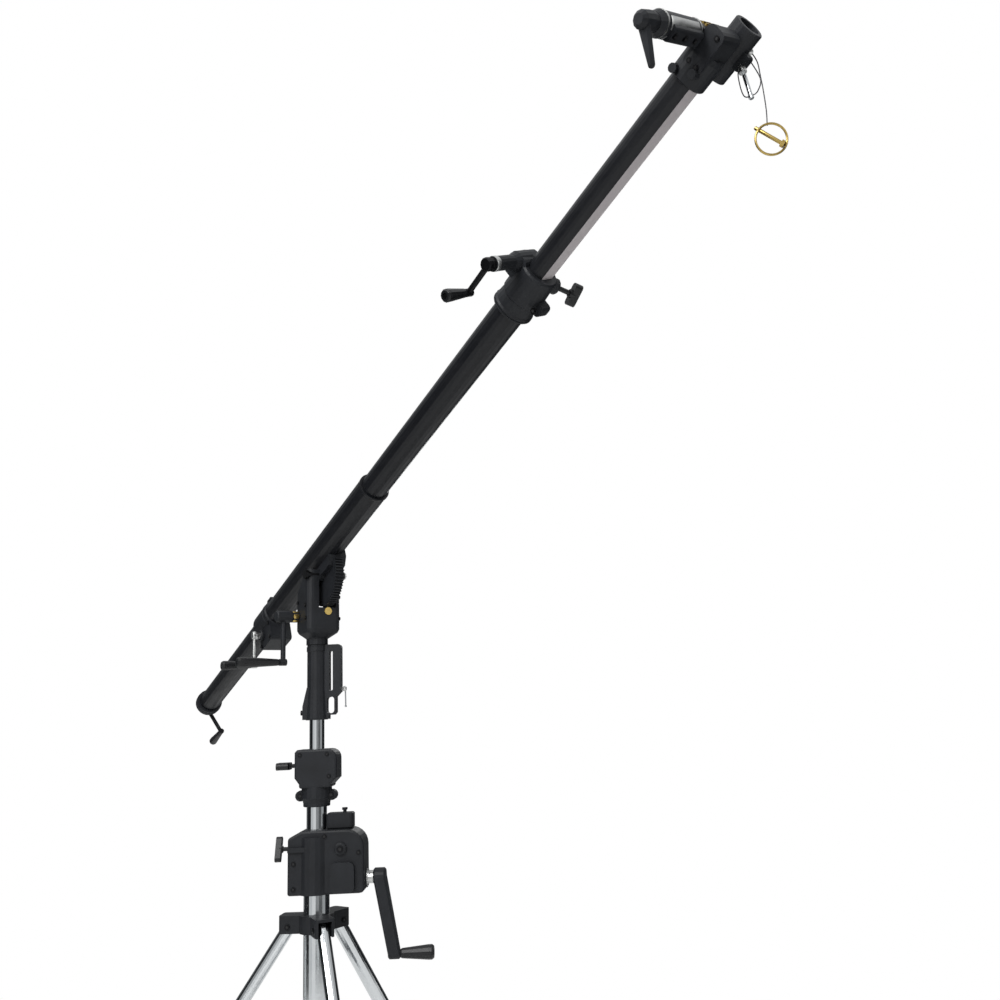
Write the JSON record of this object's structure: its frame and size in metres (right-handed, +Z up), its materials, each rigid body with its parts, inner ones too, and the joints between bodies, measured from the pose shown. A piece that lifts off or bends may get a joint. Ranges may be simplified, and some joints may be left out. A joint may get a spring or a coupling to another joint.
{
  "type": "boom light stand",
  "caption": "Wind-up light stand on three folding legs with a geared telescopic boom that tilts, rolls and extends.",
  "frame": {"origin": "centre of the bounding box in plan, at the floor", "axes": "+Z up; +X the way the boom points; +Y to the boom's left"},
  "size_m": [1.953, 1.269, 2.161],
  "materials": {
    "black_paint": "satin black powder coat",
    "cast_black": "textured black paint on a casting",
    "chrome": "polished chrome",
    "brass": "machined",
    "zinc_steel": "bright zinc",
    "black_rubber": "matt",
    "grip_plastic": "fine grain"
  },
  "bodies": {
    "base": {"low_tube": "chrome", "column_foot": "grip_plastic", "spider": "cast_black", "winch_housing": "cast_black", "brake_block": "cast_black"},
    "collar": {"brace_collar": "cast_black"},
    "leg_1": {"leg_1_sleeve": "chrome", "level_clamp": "cast_black"},
    "leg_1_lower": {"leg_1": "chrome", "foot_1": "black_rubber"},
    "leg_2": {"leg_2": "chrome", "foot_2": "black_rubber"},
    "leg_3": {"leg_3": "chrome", "foot_3": "black_rubber"},
    "brace_1": {"brace_1": "chrome"},
    "brace_2": {"brace_2": "chrome"},
    "brace_3": {"brace_3": "chrome"},
    "winch_crank": {"winch_shaft": "zinc_steel", "winch_arm": "cast_black"},
    "winch_grip": {"winch_grip": "grip_plastic"},
    "winch_knob": {"winch_knob": "grip_plastic"},
    "mid_stage": {"mid_tube": "chrome", "brake_housing": "cast_black"},
    "brake_knob": {"brake_knob": "grip_plastic"},
    "top_stage": {"top_tube": "chrome", "socket_casting": "cast_black"},
    "socket_pin": {"socket_pin": "zinc_steel"},
    "pan_head": {"yoke": "cast_black", "tilt_axle": "zinc_steel"},
    "tilt_worm": {"tilt_worm": "brass"},
    "tilt_crank": {"tilt_crank": "cast_black"},
    "tilt_grip": {"tilt_grip": "grip_plastic"},
    "cradle": {"tilt_sector": "cast_black", "boom_sleeve": "black_paint", "rear_housing": "cast_black"},
    "roll_crank": {"roll_crank": "zinc_steel"},
    "roll_grip": {"roll_grip": "grip_plastic"},
    "boom": {"outer_tube": "black_paint", "roll_ring": "brass", "rear_cap": "cast_black", "front_collar": "cast_black"},
    "drive_shaft": {"drive_shaft": "zinc_steel"},
    "rear_grip": {"rear_grip": "grip_plastic"},
    "extension_crank": {"extension_crank": "zinc_steel"},
    "extension_grip": {"extension_grip": "grip_plastic"},
    "collar_knob": {"collar_knob": "grip_plastic"},
    "arm": {"inner_tube": "black_paint", "head_casting": "cast_black", "friction_hub": "cast_black"},
    "head_worm": {"head_worm": "zinc_steel"},
    "lock_lever": {"lock_lever": "cast_black"},
    "receiver": {"worm_wheel": "brass", "receiver": "cast_black"}
  },
  "joints": [
    {"name": "leg_1_fold", "type": "hinge", "parent": "base", "child": "leg_1", "pos_m": [-0.23445, -0.01911, 0.956], "axis": [-0.9444, -0.3289, 0], "range_deg": [0, 33]},
    {"name": "brace_1_fold", "type": "hinge", "parent": "leg_1", "child": "brace_1", "pos_m": [-0.30236, 0.17589, 0.66111], "axis": [-0.9444, -0.3289, 0], "range_deg": [-66, 0]},
    {"name": "leg_2_fold", "type": "hinge", "parent": "base", "child": "leg_2", "pos_m": [-0.25133, -0.10758, 0.956], "axis": [0.757, -0.6534, 0], "range_deg": [0, 33]},
    {"name": "brace_2_fold", "type": "hinge", "parent": "leg_2", "child": "brace_2", "pos_m": [-0.38625, -0.26389, 0.66111], "axis": [0.757, -0.6534, 0], "range_deg": [-66, 0]},
    {"name": "leg_3_fold", "type": "hinge", "parent": "base", "child": "leg_3", "pos_m": [-0.16627, -0.07796, 0.956], "axis": [0.1874, 0.9823, 0], "range_deg": [0, 33]},
    {"name": "brace_3_fold", "type": "hinge", "parent": "leg_3", "child": "brace_3", "pos_m": [0.03656, -0.11665, 0.66111], "axis": [0.1874, 0.9823, 0], "range_deg": [-66, 0]},
    {"name": "collar_slide", "type": "slide", "parent": "base", "child": "collar", "axis": [0, 0, 1], "range_m": [-0.13, 0]},
    {"name": "level_slide", "type": "slide", "parent": "leg_1", "child": "leg_1_lower", "axis": [-0.1886, 0.5417, -0.8192], "range_m": [-0.015, 0.085]},
    {"name": "mid_rise", "type": "slide", "parent": "base", "child": "mid_stage", "axis": [0, 0, 1], "range_m": [0, 0.75]},
    {"name": "top_rise", "type": "slide", "parent": "mid_stage", "child": "top_stage", "axis": [0, 0, 1], "range_m": [0, 0.75]},
    {"name": "winch_turn", "type": "hinge", "parent": "base", "child": "winch_crank", "pos_m": [-0.16002, 0.01127, 1.038], "axis": [0.585, 0.8111, 0], "continuous": true},
    {"name": "winch_grip_spin", "type": "hinge", "parent": "winch_crank", "child": "winch_grip", "pos_m": [-0.12492, 0.05993, 0.898], "axis": [0.585, 0.8111, 0], "continuous": true},
    {"name": "winch_knob_turn", "type": "hinge", "parent": "base", "child": "winch_knob", "pos_m": [-0.2466, -0.10877, 1.096], "axis": [0.585, 0.8111, 0], "continuous": true},
    {"name": "brake_knob_turn", "type": "hinge", "parent": "mid_stage", "child": "brake_knob", "pos_m": [-0.24016, -0.09985, 1.253], "axis": [0.585, 0.8111, 0], "continuous": true},
    {"name": "socket_pin_pull", "type": "slide", "parent": "top_stage", "child": "socket_pin", "axis": [0.585, 0.8111, 0], "range_m": [0, 0.006]},
    {"name": "pan_turn", "type": "hinge", "parent": "top_stage", "child": "pan_head", "pos_m": [-0.21735, -0.06822, 0], "axis": [0, 0, 1], "continuous": true},
    {"name": "tilt_turn", "type": "hinge", "parent": "pan_head", "child": "cradle", "pos_m": [-0.18735, -0.06822, 1.634], "axis": [0, -1, 0], "range_deg": [-55.8, 24]},
    {"name": "tilt_worm_turn", "type": "hinge", "parent": "pan_head", "child": "tilt_worm", "pos_m": [-0.21735, -0.06022, 1.5588], "axis": [1, 0, 0], "continuous": true},
    {"name": "tilt_crank_turn", "type": "hinge", "parent": "pan_head", "child": "tilt_crank", "pos_m": [-0.23235, -0.10422, 1.551], "axis": [0, -1, 0], "continuous": true},
    {"name": "tilt_grip_spin", "type": "hinge", "parent": "tilt_crank", "child": "tilt_grip", "pos_m": [-0.23235, -0.16822, 1.458], "axis": [0, 1, 0], "continuous": true},
    {"name": "roll_turn", "type": "hinge", "parent": "cradle", "child": "boom", "pos_m": [-0.21736, -0.06822, 1.66803], "axis": [0.9342, 0, 0.3567], "range_deg": [-170, 170]},
    {"name": "roll_crank_turn", "type": "hinge", "parent": "cradle", "child": "roll_crank", "pos_m": [-0.46111, -0.09822, 1.53546], "axis": [0, -1, 0], "continuous": true},
    {"name": "roll_grip_spin", "type": "hinge", "parent": "roll_crank", "child": "roll_grip", "pos_m": [-0.46111, -0.16822, 1.46846], "axis": [0, 1, 0], "continuous": true},
    {"name": "extension_slide", "type": "slide", "parent": "boom", "child": "arm", "axis": [0.9342, 0, 0.3567], "range_m": [-0.27, 0.9]},
    {"name": "extension_crank_turn", "type": "hinge", "parent": "boom", "child": "extension_crank", "pos_m": [0.58094, -0.1534, 1.96579], "axis": [0.1508, -0.9063, -0.3948], "continuous": true},
    {"name": "extension_grip_spin", "type": "hinge", "parent": "extension_crank", "child": "extension_grip", "pos_m": [0.52676, -0.1534, 1.9451], "axis": [-0.1508, 0.9063, 0.3948], "continuous": true},
    {"name": "collar_knob_turn", "type": "hinge", "parent": "boom", "child": "collar_knob", "pos_m": [0.57571, -0.02896, 1.96266], "axis": [0.0685, 0.9814, -0.1794], "continuous": true},
    {"name": "receiver_turn", "type": "hinge", "parent": "arm", "child": "receiver", "pos_m": [0.92976, -0.03556, 2.14836], "axis": [-0.1508, 0.9063, 0.3948], "range_deg": [-90, 90]},
    {"name": "head_worm_turn", "type": "hinge", "parent": "arm", "child": "head_worm", "pos_m": [0.94385, -0.06822, 2.11146], "axis": [0.9342, 0, 0.3567], "continuous": true},
    {"name": "rear_crank_turn", "type": "hinge", "parent": "boom", "child": "drive_shaft", "pos_m": [-0.91148, -0.06822, 1.40298], "axis": [0.9342, 0, 0.3567], "continuous": true},
    {"name": "rear_grip_spin", "type": "hinge", "parent": "drive_shaft", "child": "rear_grip", "pos_m": [-0.88561, -0.03441, 1.33524], "axis": [0.9342, 0, 0.3567], "continuous": true},
    {"name": "lever_turn", "type": "hinge", "parent": "arm", "child": "lock_lever", "pos_m": [0.95453, -0.18446, 2.0835], "axis": [-0.1508, 0.9063, 0.3948], "range_deg": [-60, 60]}
  ],
  "couplings": [
    {"joint": "brace_1_fold", "follows": "leg_1_fold", "ratio": -2},
    {"joint": "leg_2_fold", "follows": "leg_1_fold", "ratio": 1},
    {"joint": "brace_2_fold", "follows": "leg_1_fold", "ratio": -2},
    {"joint": "leg_3_fold", "follows": "leg_1_fold", "ratio": 1},
    {"joint": "brace_3_fold", "follows": "leg_1_fold", "ratio": -2},
    {"joint": "collar_slide", "follows": "leg_1_fold", "m_per_rad": -0.22536},
    {"joint": "top_rise", "follows": "mid_rise", "ratio": 1},
    {"joint": "winch_turn", "follows": "mid_rise", "rad_per_m": 157},
    {"joint": "tilt_worm_turn", "follows": "tilt_turn", "ratio": 63},
    {"joint": "tilt_crank_turn", "follows": "tilt_turn", "ratio": 63},
    {"joint": "roll_crank_turn", "follows": "roll_turn", "ratio": 57},
    {"joint": "extension_crank_turn", "follows": "extension_slide", "rad_per_m": 50},
    {"joint": "head_worm_turn", "follows": "receiver_turn", "ratio": 18},
    {"joint": "rear_crank_turn", "follows": "receiver_turn", "ratio": 18}
  ]
}
